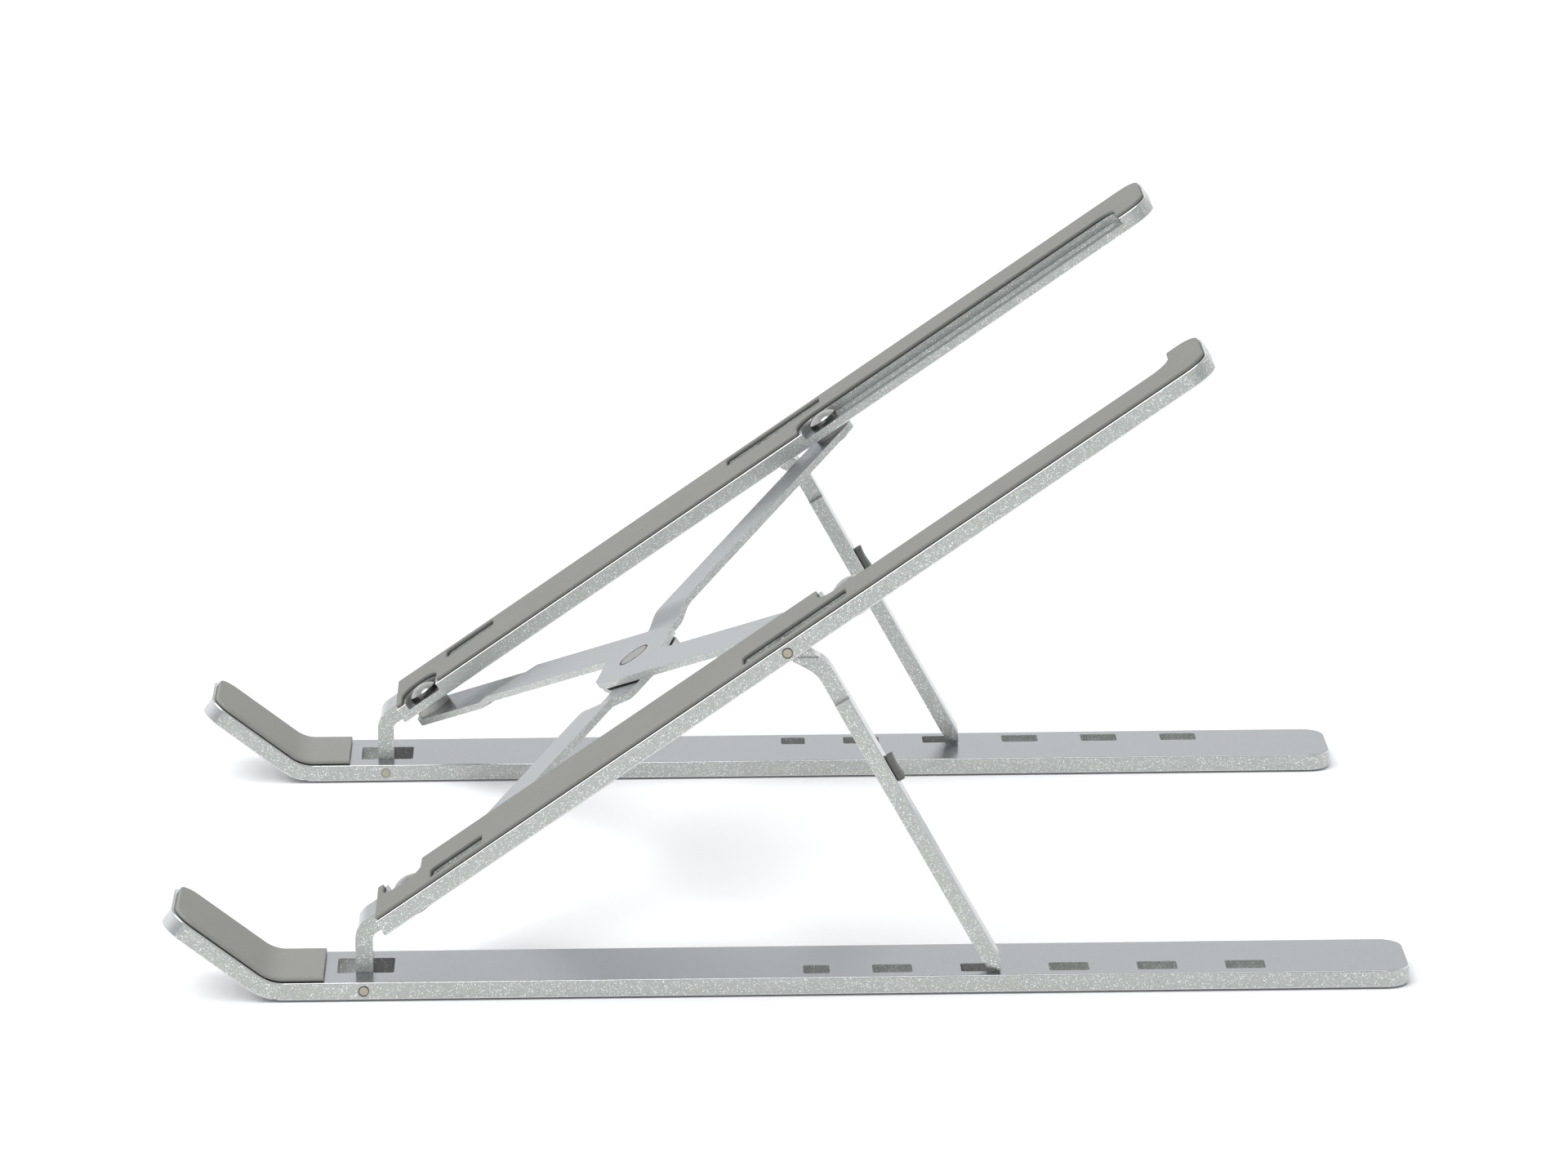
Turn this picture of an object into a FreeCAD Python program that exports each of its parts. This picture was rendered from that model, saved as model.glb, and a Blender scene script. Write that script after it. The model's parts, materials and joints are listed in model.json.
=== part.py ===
"""Folding X-shaped laptop stand, millimetres, +Z up.

X runs from the hooked front (-X) to the rear (+X) and Y runs across, the right-hand side at -Y.
The origin is the middle of the footprint, on the surface that the stand rests on.
Two mirrored sides, each a base bar, a tilting arm and a prop strut, are tied by two crossed braces.
"""
import FreeCAD, Part
import math
import os
from FreeCAD import Rotation, Vector

# Overall sizes.
STAND_LENGTH = 250.0
SIDE_SPACING = 166.6
BAR_WIDTH = 22.4
FOOT_STAND_OFF = 0.4
CORNER_RADIUS = 5.0
EDGE_ROUND = 0.3
RUNNING_GAP = 0.05

# Base bar with its raised front hook.
BASE_THICKNESS = 3.6
HOOK_ANGLE = 37.4
HOOK_BEND_X = 20.8
HOOK_BEND_RADIUS = 10.2
HOOK_TIP_X = 0.972

# Tilting arm: measured from the hinge pin, along the arm and square to it.
ARM_TILT = 34.4
HINGE_X = 40.2
ARM_THICKNESS = 3.5
ARM_UNDERSIDE = 6.9
ARM_START = 10.15
ARM_END = 210.6
LEG_WIDTH = 10.0
LEG_BEND_RADIUS = 3.25
PIN_RADIUS = 1.0
PIN_RING = 0.15
PIN_RING_DEPTH = 0.3
PIN_ANCHOR = 4.0
LEG_INSET = 7.05

# Slots for the strut: their distance in from the outer edge, and their width.
SLOT_INSET = 2.74
SLOT_WIDTH = 5.6
SLOT_CORNER = 0.6
STRUT_SLOT_PITCH = 17.75
SECOND_SLOT_X = 142.1
STRUT_SLOT_LENGTH = 8.0
FIRST_SLOT_X = 128.2
FIRST_SLOT_LENGTH = 5.3
STRUT_SLOT_COUNT = 6
HINGE_SLOT_X = (34.65, 46.1)
HINGE_SLOT_INSET = 6.85
HINGE_SLOT_WIDTH = 10.4
ARM_LONG_SLOT = (100.4, 124.5)
ARM_SHORT_SLOT = (24.3, 36.2)

# Prop strut.
STRUT_PIN_S = 109.0
STRUT_THICKNESS = 3.3
STRUT_EYE_WIDTH = 4.5
STRUT_NECK_WIDTH = 5.1
STRUT_SHANK_WIDTH = 7.4
STRUT_EYE_DROP = 1.75
STRUT_BACK_ROUND = 0.5
STRUT_NECK_ANGLE = 29.0
STRUT_SHANK_ANGLE = 61.0
STRUT_NECK_LENGTH = 8.14
STRUT_BEND_RADIUS = 8.0
STRUT_SHOULDER = 7.8
STRUT_TIP_X = 167.7
STRUT_TIP_GAP = 0.4
STRUT_TIP_SLANT = 28.5
TIP_REACH = 30.0
TONGUE_SETBACK = 0.5
TONGUE_SLANT = 8.5
BUMPER_ALONG = 25.35
BUMPER_LENGTH = 5.2
BUMPER_WIDTH = 4.6
BUMPER_HEIGHT = 1.6
BUMPER_HOLLOW = 0.35
BUMPER_PEG = (1.1, 2.0)

# Crossed braces: measured from the hinge line along the arms.
RIVET_INSET = 17.1
FRONT_RIVET_S = 16.7
SLIDE_RIVET_S = 124.4
SLIDE_CLOSED_S = 199.7
BRACE_THICKNESS = 1.5
BRACE_TOP = 5.9
BRACE_WIDTH = 9.4
BRACE_HALF_GAP = 0.65
BRACE_END_RADIUS = 4.7
LOBE = ((12.0, -0.65), (6.0, 7.1), (5.0, 8.6), (0.5, 10.05))
JOGGLE_DROP = 1.8
JOGGLE_START = 17.5
JOGGLE_LENGTH = 5.0
JOGGLE_BEND = 8.0
STEP_DROP = 0.9
STEP_CENTRE = (-61.2, 5.1)
STEP_ANGLE = 42.2
STEP_LENGTH = 2.6
POCKET_RADIUS = 4.1
POCKET_DEPTH = 0.7

# Rivets and washers.
STEM_RADIUS = 2.0
SLIDE_CLEARANCE = 0.2
HEAD_RADIUS = 3.3
HEAD_HEIGHT = 2.15
HEAD_CLEARANCE = 0.3
FRONT_HEAD_CLEARANCE = 0.75
TAIL_RADIUS = 3.0
TAIL_HEIGHT = 0.8
CENTRE_HEAD_RADIUS = 3.45
CENTRE_HEAD_DEPTH = 0.7
CENTRE_HEAD_GAP = 0.15
WASHER_RADIUS = 3.9
CENTRE_WASHER_THICKNESS = 0.2
REBATE_DEPTH = 1.6
REBATE_WALL_INSET = 13.7
REBATE_START = 119.2
REBATE_CORNER = 3.6

# Silicone pads and feet.
ARM_PAD_THICKNESS = 0.8
ARM_PAD_INSET = 0.45
PAD_HOLE_MARGIN = 0.4
PAD_NOTCH_START = 118.4
PAD_NOTCH_END = 203.0
PAD_NOTCH_INSET = 12.8
PAD_FRONT_RADIUS = 4.7
HOOK_PAD_THICKNESS = 1.1
HOOK_PAD_INSET = 0.7
HOOK_PAD_END_X = 32.2
FOOT_THICKNESS = 1.0
FOOT_WIDTH = 12.0
FEET = (("front_foot", 50.0, 92.0), ("rear_foot", 228.0, 244.0))

# Sizes that follow from those above.
FRONT_X = -STAND_LENGTH / 2
BASE_TOP = FOOT_STAND_OFF + BASE_THICKNESS
BASE_MID = FOOT_STAND_OFF + BASE_THICKNESS / 2
ARM_TOP = ARM_UNDERSIDE + ARM_THICKNESS
ARM_MID = ARM_UNDERSIDE + ARM_THICKNESS / 2
REBATE_FLOOR = ARM_TOP - REBATE_DEPTH
OUTER_Y = (SIDE_SPACING + BAR_WIDTH) / 2
INNER_Y = OUTER_Y - BAR_WIDTH
RIVET_Y = OUTER_Y - RIVET_INSET
SLOT_MID_Y = OUTER_Y - SLOT_INSET - SLOT_WIDTH / 2
CENTRE_S = (FRONT_RIVET_S + SLIDE_RIVET_S) / 2
BRACE_ANGLE = math.degrees(math.atan2(2 * RIVET_Y, SLIDE_RIVET_S - FRONT_RIVET_S))
BRACE_HALF = math.hypot(RIVET_Y, CENTRE_S - FRONT_RIVET_S)
LEG_OFFSET = BRACE_HALF_GAP + BRACE_WIDTH / 2
LEG_REACH = math.sqrt(BRACE_HALF ** 2 - LEG_OFFSET ** 2)
SKEW = math.degrees(math.asin(LEG_OFFSET / BRACE_HALF))
HINGE = Vector(FRONT_X + HINGE_X, 0, BASE_MID)


def rounded_face(points, radii):
    """Closed flat face in the XZ plane through (x, z) points, each corner an arc of its radius."""
    count = len(points)
    corners = [Vector(x, 0, z) for x, z in points]
    starts, ends, arcs = [], [], []
    for i in range(count):
        before = (corners[i - 1] - corners[i]).normalize()
        after = (corners[(i + 1) % count] - corners[i]).normalize()
        half = before.getAngle(after) / 2
        reach = radii[i] / math.tan(half)
        start = corners[i] + before * reach
        end = corners[i] + after * reach
        starts.append(start)
        ends.append(end)
        if radii[i] > 0:
            middle_way = (before + after).normalize()
            top = corners[i] + middle_way * (radii[i] / math.sin(half) - radii[i])
            arcs.append(Part.Arc(start, top, end).toShape())
        else:
            arcs.append(None)
    edges = []
    for i in range(count):
        if arcs[i]:
            edges.append(arcs[i])
        following = starts[(i + 1) % count]
        if (following - ends[i]).Length > 1e-6:
            edges.append(Part.makeLine(ends[i], following))
    return Part.Face(Part.Wire(edges))


def prism_y(points, radii, y_low, y_high):
    """Solid with an XZ outline, from y_low to y_high."""
    face = rounded_face(points, radii)
    face.translate(Vector(0, y_low, 0))
    return face.extrude(Vector(0, y_high - y_low, 0))


def prism_z(points, radii, z_low, z_high):
    """Solid with an XY outline, from z_low to z_high."""
    solid = prism_y(points, radii, -z_high, -z_low)
    solid.rotate(Vector(), Vector(1, 0, 0), -90)
    return solid


def box(x_low, x_high, y_low, y_high, z_low, z_high):
    corner = Vector(x_low, y_low, z_low)
    return Part.makeBox(x_high - x_low, y_high - y_low, z_high - z_low, corner)


def disc(x, y, radius, z_low, z_high):
    return Part.makeCylinder(radius, z_high - z_low, Vector(x, y, z_low))


def strip_outline(path, bends, thickness, end_radius=0.0, start_radius=0.0):
    """Outline of a bar of even thickness whose middle line follows the path, bent at its corners."""
    count = len(path)
    left, right, left_radii, right_radii = [], [], [], []
    for i in range(count):
        here = Vector(path[i][0], 0, path[i][1])
        ways = []
        if i > 0:
            ways.append((here - Vector(path[i - 1][0], 0, path[i - 1][1])).normalize())
        if i < count - 1:
            ways.append((Vector(path[i + 1][0], 0, path[i + 1][1]) - here).normalize())
        normals = [Vector(-way.z, 0, way.x) for way in ways]
        middle = sum(normals, Vector()).normalize()
        reach = thickness / 2 / middle.dot(normals[0])
        for side, points in ((reach, left), (-reach, right)):
            moved = here + middle * side
            points.append((moved.x, moved.z))
        if i == 0:
            left_radii.append(start_radius)
            right_radii.append(start_radius)
        elif i == count - 1:
            left_radii.append(end_radius)
            right_radii.append(end_radius)
        else:
            turn = ways[0].x * ways[1].z - ways[0].z * ways[1].x
            inside = bends[i - 1] - thickness / 2
            outside = bends[i - 1] + thickness / 2
            left_radii.append(inside if turn > 0 else outside)
            right_radii.append(outside if turn > 0 else inside)
    return left + right[::-1], left_radii + right_radii[::-1]


def strip(path, bends, thickness, y_low, y_high, end_radius=0.0, start_radius=0.0):
    points, radii = strip_outline(path, bends, thickness, end_radius, start_radius)
    return prism_y(points, radii, y_low, y_high)


def round_ends(solid, thickness, radius):
    """Round the short straight edges at the ends of a bar, seen from above."""
    short = [edge for edge in solid.Edges
             if abs(edge.Length - thickness) < 0.01 and isinstance(edge.Curve, Part.Line)
             and abs(edge.tangentAt(edge.FirstParameter).y) < 0.01]
    return solid.makeFillet(radius, short)


def soften(solid, thickness, radius=EDGE_ROUND):
    """Break the long sharp edges of a bar, leaving the short edges across its thickness."""
    long_edges = []
    for edge in solid.Edges:
        across = abs(edge.Length - thickness) < 0.01 and isinstance(edge.Curve, Part.Line)
        if across:
            continue
        faces = solid.ancestorsOfType(edge, Part.Face)
        ends = [face.normalAt(*face.Surface.parameter(edge.valueAt(
            (edge.FirstParameter + edge.LastParameter) / 2))) for face in faces]
        if len(ends) == 2 and abs(ends[0].dot(ends[1])) < 0.5:
            long_edges.append(edge)
    return solid.makeFillet(radius, long_edges)


def slot_cut(x_low, x_high, side, inset, width, z_low, z_high, corner=SLOT_CORNER):
    """Through slot with rounded corners, a set distance in from the side's outer edge."""
    y_a = side * (OUTER_Y - inset)
    y_b = side * (OUTER_Y - inset - width)
    low, high = min(y_a, y_b), max(y_a, y_b)
    points = [(x_low, low), (x_high, low), (x_high, high), (x_low, high)]
    return prism_z(points, [corner] * 4, z_low, z_high)


def side_span(side, inset_outer, inset_inner):
    """Low and high Y of a band between two insets from a side's outer edge."""
    ends = (side * (OUTER_Y - inset_outer), side * (OUTER_Y - inset_inner))
    return min(ends), max(ends)


def place_on_arm(solid):
    """Carry a solid from the flat arm frame to the tilted arm."""
    placed = solid.copy()
    placed.rotate(Vector(), Vector(0, 1, 0), -ARM_TILT)
    placed.translate(HINGE)
    return placed


def cross_rod(side, inset_low, inset_high, radius=PIN_RADIUS):
    """Round rod across a side, its axis along Y through the local origin."""
    low, high = side_span(side, inset_low, inset_high)
    return Part.makeCylinder(radius, high - low, Vector(0, low, 0), Vector(0, 1, 0))


def pin_ring(side):
    """Shallow countersunk ring round a pin's end in a side's outer face."""
    return cross_rod(side, -1, PIN_RING_DEPTH, PIN_RADIUS + PIN_RING)


def moved(solid, x, z):
    copy = solid.copy()
    copy.translate(Vector(x, 0, z))
    return copy


def hook_path():
    """Middle line of the base bar from the hook tip to the rear end."""
    slope = math.radians(HOOK_ANGLE)
    rise = (HOOK_BEND_X - HOOK_TIP_X) * math.tan(slope)
    return [(FRONT_X + HOOK_TIP_X, BASE_MID + rise),
            (FRONT_X + HOOK_BEND_X, BASE_MID),
            (FRONT_X + STAND_LENGTH, BASE_MID)]


def strut_slots():
    """Front and rear X of the six strut slots, the first one shorter."""
    slots = [(FIRST_SLOT_X, FIRST_SLOT_X + FIRST_SLOT_LENGTH)]
    for index in range(STRUT_SLOT_COUNT - 1):
        start = SECOND_SLOT_X + index * STRUT_SLOT_PITCH
        slots.append((start, start + STRUT_SLOT_LENGTH))
    return slots


def base_bar(side):
    low, high = side_span(side, 0, BAR_WIDTH)
    bar = strip(hook_path(), [HOOK_BEND_RADIUS], BASE_THICKNESS, low, high)
    bar = round_ends(bar, BASE_THICKNESS, CORNER_RADIUS)
    bar = soften(bar, BASE_THICKNESS)
    cuts = [slot_cut(FRONT_X + a, FRONT_X + b, side, SLOT_INSET, SLOT_WIDTH, 0, BASE_TOP + 1)
            for a, b in strut_slots()]
    cuts.append(slot_cut(FRONT_X + HINGE_SLOT_X[0], FRONT_X + HINGE_SLOT_X[1], side,
                         HINGE_SLOT_INSET, HINGE_SLOT_WIDTH, 0, BASE_TOP + 1))
    cuts.append(moved(cross_rod(side, 0, BAR_WIDTH), HINGE.x, HINGE.z))
    cuts.append(moved(pin_ring(side), HINGE.x, HINGE.z))
    for name, start, end in FEET:
        cuts.append(foot(side, start, end))
    return bar.cut(cuts)


def foot(side, start, end):
    """Silicone foot strip, let into the underside of the base bar."""
    middle = side * (OUTER_Y - BAR_WIDTH / 2)
    points = [(FRONT_X + start, middle - FOOT_WIDTH / 2), (FRONT_X + end, middle - FOOT_WIDTH / 2),
              (FRONT_X + end, middle + FOOT_WIDTH / 2), (FRONT_X + start, middle + FOOT_WIDTH / 2)]
    return prism_z(points, [FOOT_WIDTH / 4] * 4, 0, FOOT_THICKNESS)


def hook_pad(side):
    """Silicone pad that lines the inside of the hook and the start of the flat."""
    slope = math.radians(HOOK_ANGLE)
    lift = (BASE_THICKNESS + HOOK_PAD_THICKNESS) / 2
    tip, bend, _ = hook_path()
    start = (tip[0] + lift * math.sin(slope) + HOOK_PAD_INSET * math.cos(slope),
             tip[1] + lift * math.cos(slope) - HOOK_PAD_INSET * math.sin(slope))
    corner = (bend[0] + lift * math.tan(slope / 2), bend[1] + lift)
    finish = (FRONT_X + HOOK_PAD_END_X, corner[1])
    low, high = side_span(side, HOOK_PAD_INSET, BAR_WIDTH - HOOK_PAD_INSET)
    pad = strip([start, corner, finish], [HOOK_BEND_RADIUS - lift], HOOK_PAD_THICKNESS, low, high)
    tip_edges = [edge for edge in pad.Edges
                 if abs(edge.Length - HOOK_PAD_THICKNESS) < 0.01 and edge.CenterOfMass.x < corner[0]]
    return pad.makeFillet(CORNER_RADIUS - HOOK_PAD_INSET, tip_edges)


def front_rebate(side, z_low, z_high, radius):
    """Round recess about the front rivet, open to the inner edge."""
    low, high = side_span(side, RIVET_INSET, BAR_WIDTH + 1)
    throat = box(FRONT_RIVET_S - radius, FRONT_RIVET_S + radius, low, high, z_low, z_high)
    return disc(FRONT_RIVET_S, side * RIVET_Y, radius, z_low, z_high).fuse(throat)


def edge_recess(side, start, end, inset, corner, z_low, z_high):
    """Long recess open to the inner edge, with rounded inside corners."""
    y_wall = side * (OUTER_Y - inset)
    y_open = side * (OUTER_Y - BAR_WIDTH - 1)
    points = [(start, y_open), (start, y_wall), (end, y_wall), (end, y_open)]
    return prism_z(points, [0, corner, corner, 0], z_low, z_high)


def arm(side):
    """Arm bar with its front leg bent down to the hinge pin, in the flat arm frame."""
    low, high = side_span(side, 0, BAR_WIDTH)
    path = [(ARM_START, ARM_MID), (ARM_END, ARM_MID)]
    bar = strip(path, [], ARM_THICKNESS, low, high)
    rear = [edge for edge in bar.Edges if abs(edge.Length - ARM_THICKNESS) < 0.01
            and edge.CenterOfMass.x > ARM_START + 1]
    bar = bar.makeFillet(CORNER_RADIUS, rear)
    bar = soften(bar, ARM_THICKNESS)
    tilt = math.radians(ARM_TILT)
    leg_path = [(0, 0), (ARM_MID * math.tan(tilt), ARM_MID), (ARM_START + CORNER_RADIUS, ARM_MID)]
    low, high = side_span(side, LEG_INSET, LEG_INSET + LEG_WIDTH)
    points, radii = strip_outline(leg_path, [LEG_BEND_RADIUS], ARM_THICKNESS)
    leg = prism_y(points, radii, low, high)
    leg = leg.fuse(cross_rod(side, LEG_INSET, LEG_INSET + LEG_WIDTH, ARM_THICKNESS / 2))
    body = bar.fuse(leg).removeSplitter()
    cuts = [slot_cut(*ARM_LONG_SLOT, side, SLOT_INSET, SLOT_WIDTH, 0, ARM_TOP + 1),
            slot_cut(*ARM_SHORT_SLOT, side, SLOT_INSET, SLOT_WIDTH, 0, ARM_TOP + 1),
            cross_rod(side, LEG_INSET - 1, LEG_INSET + LEG_WIDTH + 1, PIN_RADIUS + RUNNING_GAP),
            moved(cross_rod(side, -1, SLOT_INSET + SLOT_WIDTH + PIN_ANCHOR), STRUT_PIN_S, ARM_MID),
            moved(pin_ring(side), STRUT_PIN_S, ARM_MID),
            front_rebate(side, REBATE_FLOOR, ARM_TOP + 1, HEAD_RADIUS + FRONT_HEAD_CLEARANCE),
            edge_recess(side, REBATE_START, SLIDE_CLOSED_S + HEAD_RADIUS + HEAD_CLEARANCE, REBATE_WALL_INSET,
                        REBATE_CORNER, REBATE_FLOOR, ARM_TOP + 1),
            disc(FRONT_RIVET_S, side * RIVET_Y, STEM_RADIUS + RUNNING_GAP, 0, ARM_TOP),
            stem_slot(side)]
    return body.cut(cuts)


def stem_slot(side):
    """Narrow slot that the sliding rivet's stem runs in."""
    half = STEM_RADIUS + SLIDE_CLEARANCE
    start = SLIDE_RIVET_S - half
    end = SLIDE_CLOSED_S + half
    y = side * RIVET_Y
    points = [(start, y - half), (end, y - half), (end, y + half), (start, y + half)]
    return prism_z(points, [half - 0.01] * 4, 0, ARM_TOP)


def arm_pad(side):
    """Silicone strip on top of the arm, cut away at the slots and round the rivets."""
    low, high = side_span(side, ARM_PAD_INSET, BAR_WIDTH - ARM_PAD_INSET)
    front = ARM_START + ARM_PAD_INSET
    rear = ARM_END - ARM_PAD_INSET
    points = [(front, low), (rear, low), (rear, high), (front, high)]
    corner = CORNER_RADIUS - ARM_PAD_INSET
    bottom, top = ARM_TOP, ARM_TOP + ARM_PAD_THICKNESS
    pad = prism_z(points, [0.3, corner, corner, 0.3], bottom, top)
    cuts = [front_rebate(side, bottom - 1, top + 1, PAD_FRONT_RADIUS),
            edge_recess(side, PAD_NOTCH_START, PAD_NOTCH_END, PAD_NOTCH_INSET, REBATE_CORNER + 0.8,
                        bottom - 1, top + 1)]
    for start, end in (ARM_LONG_SLOT, ARM_SHORT_SLOT):
        cuts.append(slot_cut(start - PAD_HOLE_MARGIN, end + PAD_HOLE_MARGIN, side,
                             SLOT_INSET - PAD_HOLE_MARGIN, SLOT_WIDTH + 2 * PAD_HOLE_MARGIN,
                             bottom - 1, top + 1, SLOT_CORNER + PAD_HOLE_MARGIN))
    return pad.cut(cuts)


def strut_frame():
    """Pin, knee and shank direction of the strut, in the stand's frame."""
    pin = place_on_arm(Part.Vertex(STRUT_PIN_S, 0, ARM_MID)).Point
    neck = math.radians(STRUT_NECK_ANGLE)
    knee = pin + Vector(math.cos(neck), 0, -math.sin(neck)) * STRUT_NECK_LENGTH
    shank = math.radians(STRUT_SHANK_ANGLE)
    way = Vector(math.cos(shank), 0, -math.sin(shank))
    return pin, knee, way


def strut(side):
    """Prop strut: a narrow neck in the arm's slot, a knee, a wider shank and a wedge tip."""
    pin, knee, way = strut_frame()
    overrun = knee + way * (pin.z / way.z * -1.5)
    path = [(pin.x, pin.z), (knee.x, knee.z), (overrun.x, overrun.z)]
    middle = side * SLOT_MID_Y
    eye_low, eye_high = middle - STRUT_EYE_WIDTH / 2, middle + STRUT_EYE_WIDTH / 2
    neck_low, neck_high = middle - STRUT_NECK_WIDTH / 2, middle + STRUT_NECK_WIDTH / 2
    wide_low, wide_high = middle - STRUT_SHANK_WIDTH / 2, middle + STRUT_SHANK_WIDTH / 2
    tip_x = FRONT_X + STRUT_TIP_X
    tip_z = BASE_TOP + STRUT_TIP_GAP
    eye = Part.makeCylinder(STRUT_THICKNESS / 2, eye_high - eye_low,
                            Vector(pin.x, eye_low, pin.z), Vector(0, 1, 0))
    eye = eye.fuse(strip(path, [STRUT_BEND_RADIUS], STRUT_THICKNESS, eye_low, eye_high))
    narrow = strip(path, [STRUT_BEND_RADIUS], STRUT_THICKNESS, neck_low, neck_high)
    narrow = narrow.common(box(pin.x, tip_x, neck_low, neck_high, 0, pin.z - STRUT_EYE_DROP))
    narrow = narrow.fuse(eye)
    tongue_rise = TIP_REACH * math.tan(math.radians(TONGUE_SLANT))
    above = [(tip_x - TONGUE_SETBACK, pin.z + TIP_REACH), (tip_x - TONGUE_SETBACK, tip_z),
             (tip_x - TONGUE_SETBACK - TIP_REACH, tip_z + tongue_rise),
             (pin.x - TIP_REACH, pin.z + TIP_REACH)]
    narrow = narrow.common(prism_y(above, [0] * 4, neck_low, neck_high)).removeSplitter()
    wide = strip(path, [STRUT_BEND_RADIUS], STRUT_THICKNESS, wide_low, wide_high)
    shoulder = knee + way * STRUT_SHOULDER
    square = Vector(-way.z, 0, way.x) * 10
    slant = math.tan(math.radians(STRUT_TIP_SLANT))
    keep = [(shoulder.x - square.x, shoulder.z - square.z),
            (shoulder.x + square.x, shoulder.z + square.z), (tip_x, shoulder.z), (tip_x, tip_z),
            (tip_x - TIP_REACH, tip_z + TIP_REACH * slant)]
    wide = wide.common(prism_y(keep, [0] * 5, wide_low, wide_high))
    long_edges = [edge for edge in wide.Edges if edge.Length > TIP_REACH]
    back = [edge for edge in long_edges if (edge.CenterOfMass - knee).dot(square) > 0]
    front = [edge for edge in long_edges if (edge.CenterOfMass - knee).dot(square) < 0]
    wide = wide.makeFillet(STRUT_BACK_ROUND, back)
    wide = wide.makeFillet(EDGE_ROUND / 2, [edge for edge in wide.Edges
                                            if any(edge.isPartner(old) or (
                                                edge.CenterOfMass - old.CenterOfMass).Length < 1
                                                   for old in front)])
    body = narrow.fuse(wide)
    hole = moved(cross_rod(side, 0, BAR_WIDTH / 2, PIN_RADIUS + RUNNING_GAP), pin.x, pin.z)
    peg_hole = bumper_peg(side)
    return body.cut([hole, peg_hole])


def bumper_base(side):
    """Middle of the bumper's seat on the rear face of the strut, and the way it faces."""
    pin, knee, way = strut_frame()
    out = Vector(-way.z, 0, way.x)
    seat = knee + way * BUMPER_ALONG + out * (STRUT_THICKNESS / 2)
    seat.y = side * SLOT_MID_Y
    return seat, way, out


def bumper_peg(side):
    seat, _, out = bumper_base(side)
    radius, depth = BUMPER_PEG
    return Part.makeCylinder(radius, depth, seat - out * depth, out)


def strut_bumper(side):
    """Rubber block with a hollowed outer face, held by a peg in the strut."""
    seat, way, out = bumper_base(side)
    block = Part.makeBox(BUMPER_LENGTH, BUMPER_WIDTH, BUMPER_HEIGHT,
                         Vector(-BUMPER_LENGTH / 2, -BUMPER_WIDTH / 2, 0))
    radius = (BUMPER_LENGTH ** 2 / 4 + BUMPER_HOLLOW ** 2) / (2 * BUMPER_HOLLOW)
    scoop = Part.makeCylinder(radius, BUMPER_WIDTH + 2,
                              Vector(0, -BUMPER_WIDTH / 2 - 1, BUMPER_HEIGHT + radius - BUMPER_HOLLOW),
                              Vector(0, 1, 0))
    block = block.cut(scoop)
    block.rotate(Vector(), Vector(0, 1, 0), STRUT_SHANK_ANGLE)
    block.translate(seat)
    return block.fuse(bumper_peg(side))


def domed_head(x, y, z_low, radius, height):
    """Low domed rivet head: a short rim under a spherical cap."""
    rim = height * 0.45
    cap = height - rim
    ball = (radius ** 2 + cap ** 2) / (2 * cap)
    sphere = Part.makeSphere(ball, Vector(x, y, z_low + height - ball))
    return disc(x, y, radius, z_low, z_low + height).common(sphere)


def side_rivet(side, s, brace_bottom):
    """Domed rivet from the arm's recess down through the brace, with a formed tail below."""
    y = side * RIVET_Y
    head_low = REBATE_FLOOR + RUNNING_GAP
    rivet = domed_head(s, y, head_low, HEAD_RADIUS, HEAD_HEIGHT)
    stem = disc(s, y, STEM_RADIUS, brace_bottom - TAIL_HEIGHT, head_low + 0.1)
    tail = disc(s, y, TAIL_RADIUS, brace_bottom - TAIL_HEIGHT, brace_bottom)
    tail = tail.makeChamfer(0.3, [edge for edge in tail.Edges
                                  if edge.CenterOfMass.z < brace_bottom - TAIL_HEIGHT + 0.01])
    return rivet.fuse([stem, tail]).removeSplitter()


def washer(x, y, z_low, z_high, bore=STEM_RADIUS):
    ring = disc(x, y, WASHER_RADIUS, z_low, z_high)
    return ring.cut(disc(x, y, bore, z_low, z_high))


def brace_outline(mirror):
    """Plan of a brace about its centre rivet, long axis along the line between its end rivets.

    Each leg runs beside that line's parallel, offset by half the plier step, so that the legs
    of the two braces lie side by side when the stand is closed.
    """
    tip = LEG_REACH + BRACE_END_RADIUS
    inner = BRACE_HALF_GAP
    outer = BRACE_HALF_GAP + BRACE_WIDTH
    half = [(-tip, outer), (-tip, inner)]
    half_radii = [BRACE_END_RADIUS - 0.01] * 2
    lobe = [(-x, -y) for x, y in LOBE]
    lobe_radii = [1.0, 1.0, 1.5, 2.0]
    points = half + lobe
    radii = half_radii + lobe_radii
    points = points + [(-x, -y) for x, y in points]
    radii = radii + radii
    points = [(x, y * mirror) for x, y in points]
    return points, radii


def turn_brace(solid, mirror):
    """Turn a brace from its own axis to its angle between the arms, about the centre rivet."""
    placed = solid.copy()
    angle = -mirror * (BRACE_ANGLE - SKEW)
    placed.rotate(Vector(), Vector(0, 0, 1), angle)
    placed.translate(Vector(CENTRE_S, 0, 0))
    return placed


def brace_holes(mirror, centre_radius, pocket_ends, top):
    cuts = [disc(CENTRE_S, 0, centre_radius, 0, ARM_UNDERSIDE)]
    for s, y in ((FRONT_RIVET_S, mirror * RIVET_Y), (SLIDE_RIVET_S, -mirror * RIVET_Y)):
        cuts.append(disc(s, y, STEM_RADIUS, 0, ARM_UNDERSIDE))
        if s in pocket_ends:
            cuts.append(disc(s, y, POCKET_RADIUS, top - POCKET_DEPTH, ARM_UNDERSIDE))
    return cuts


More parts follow.
